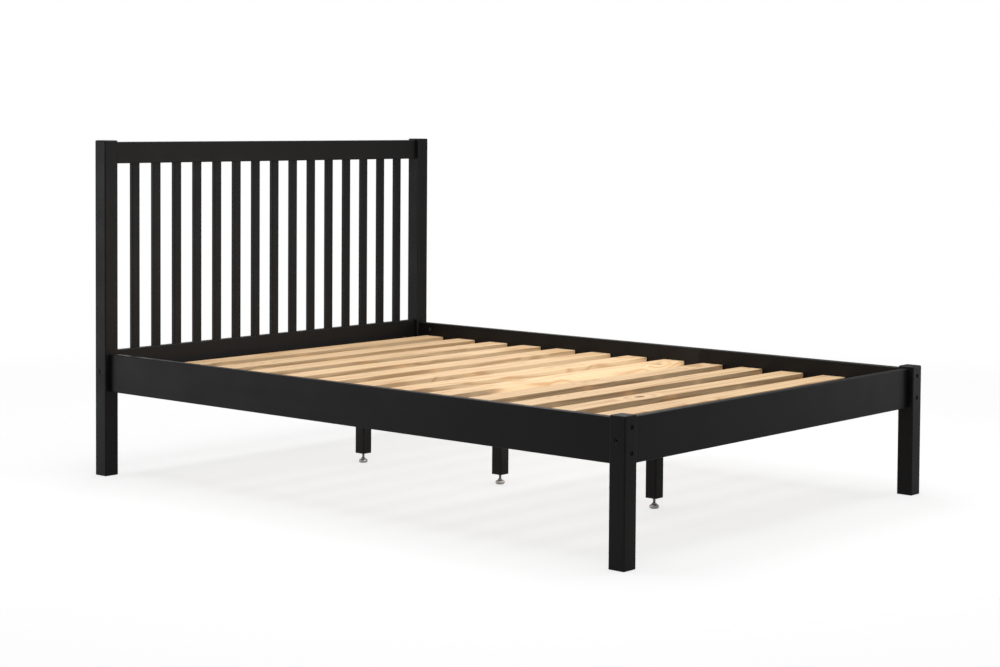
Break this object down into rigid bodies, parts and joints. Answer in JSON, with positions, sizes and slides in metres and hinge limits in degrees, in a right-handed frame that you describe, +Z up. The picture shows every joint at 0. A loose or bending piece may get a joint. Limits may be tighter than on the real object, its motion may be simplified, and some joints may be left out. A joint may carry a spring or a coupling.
{
  "type": "bed frame",
  "caption": "Double bed frame in black painted timber: slatted headboard, low foot end, slatted base on a centre rail with legs and levelling feet.",
  "frame": {"origin": "on the floor, under the middle of the outer size", "axes": "+X across the bed, +Y along the bed towards the headboard, +Z up"},
  "size_m": [1.46, 2.06, 1.038],
  "materials": {
    "black_paint": "satin black paint",
    "pine": "planed, unfinished",
    "beech": "fluted dowel, unfinished",
    "zinc_steel": "zinc plated",
    "black_steel": "black oxide",
    "polished_metal": "cast and polished",
    "webbing": "woven tape"
  },
  "bodies": {
    "root": {"headboard_post_left": "black_paint", "headboard_post_right": "black_paint", "foot_post_left": "black_paint", "foot_post_right": "black_paint", "headboard_top_rail": "black_paint", "headboard_bottom_rail": "black_paint", "foot_rail": "black_paint", "side_rail_left": "black_paint", "side_rail_right": "black_paint", "headboard_slat_01": "black_paint", "headboard_slat_02": "black_paint", "headboard_slat_03": "black_paint", "headboard_slat_04": "black_paint", "headboard_slat_05": "black_paint", "headboard_slat_06": "black_paint", "headboard_slat_07": "black_paint", "headboard_slat_08": "black_paint", "headboard_slat_09": "black_paint", "headboard_slat_10": "black_paint", "headboard_slat_11": "black_paint", "headboard_slat_12": "black_paint", "headboard_slat_13": "black_paint", "headboard_slat_14": "black_paint", "headboard_slat_15": "black_paint", "centre_leg_head": "black_paint", "centre_leg_middle": "black_paint", "centre_leg_foot": "black_paint", "base_slat_01": "pine", "base_slat_02": "pine", "base_slat_03": "pine", "base_slat_04": "pine", "base_slat_05": "pine", "base_slat_06": "pine", "base_slat_07": "pine", "base_slat_08": "pine", "base_slat_09": "pine", "base_slat_10": "pine", "base_slat_11": "pine", "base_slat_12": "pine", "base_slat_13": "pine", "ledger_left": "pine", "ledger_right": "pine", "centre_rail": "pine", "centre_hanger_head": "zinc_steel", "centre_hanger_foot": "zinc_steel", "hanger_screws": "zinc_steel", "barrel_nuts": "zinc_steel", "wood_screws": "zinc_steel", "threaded_inserts": "zinc_steel", "leg_hanger_bolts": "zinc_steel", "tape_tacks": "zinc_steel", "dowels": "beech", "slat_tapes": "webbing", "rail_bolts": "black_steel"},
    "foot_head": {"levelling_foot_head": "polished_metal"},
    "stud_head": {"levelling_stud_head": "zinc_steel"},
    "foot_middle": {"levelling_foot_middle": "polished_metal"},
    "stud_middle": {"levelling_stud_middle": "zinc_steel"},
    "foot_foot": {"levelling_foot_foot": "polished_metal"},
    "stud_foot": {"levelling_stud_foot": "zinc_steel"}
  },
  "joints": [
    {"name": "foot_height_head", "type": "slide", "parent": "root", "child": "foot_head", "axis": [0, 0, 1], "range_m": [-0.012, 0.012]},
    {"name": "foot_screw_head", "type": "hinge", "parent": "foot_head", "child": "stud_head", "pos_m": [0, 0.583, 0.0115], "axis": [0, 0, 1], "range_deg": [-3450, 3450]},
    {"name": "foot_height_middle", "type": "slide", "parent": "root", "child": "foot_middle", "axis": [0, 0, 1], "range_m": [-0.012, 0.012]},
    {"name": "foot_screw_middle", "type": "hinge", "parent": "foot_middle", "child": "stud_middle", "pos_m": [0, 0, 0.0115], "axis": [0, 0, 1], "range_deg": [-3450, 3450]},
    {"name": "foot_height_foot", "type": "slide", "parent": "root", "child": "foot_foot", "axis": [0, 0, 1], "range_m": [-0.012, 0.012]},
    {"name": "foot_screw_foot", "type": "hinge", "parent": "foot_foot", "child": "stud_foot", "pos_m": [0, -0.583, 0.0115], "axis": [0, 0, 1], "range_deg": [-3450, 3450]}
  ],
  "couplings": [
    {"joint": "foot_height_head", "follows": "foot_screw_head", "m_per_rad": 0.00019894},
    {"joint": "foot_height_middle", "follows": "foot_screw_middle", "m_per_rad": 0.00019894},
    {"joint": "foot_height_foot", "follows": "foot_screw_foot", "m_per_rad": 0.00019894}
  ]
}
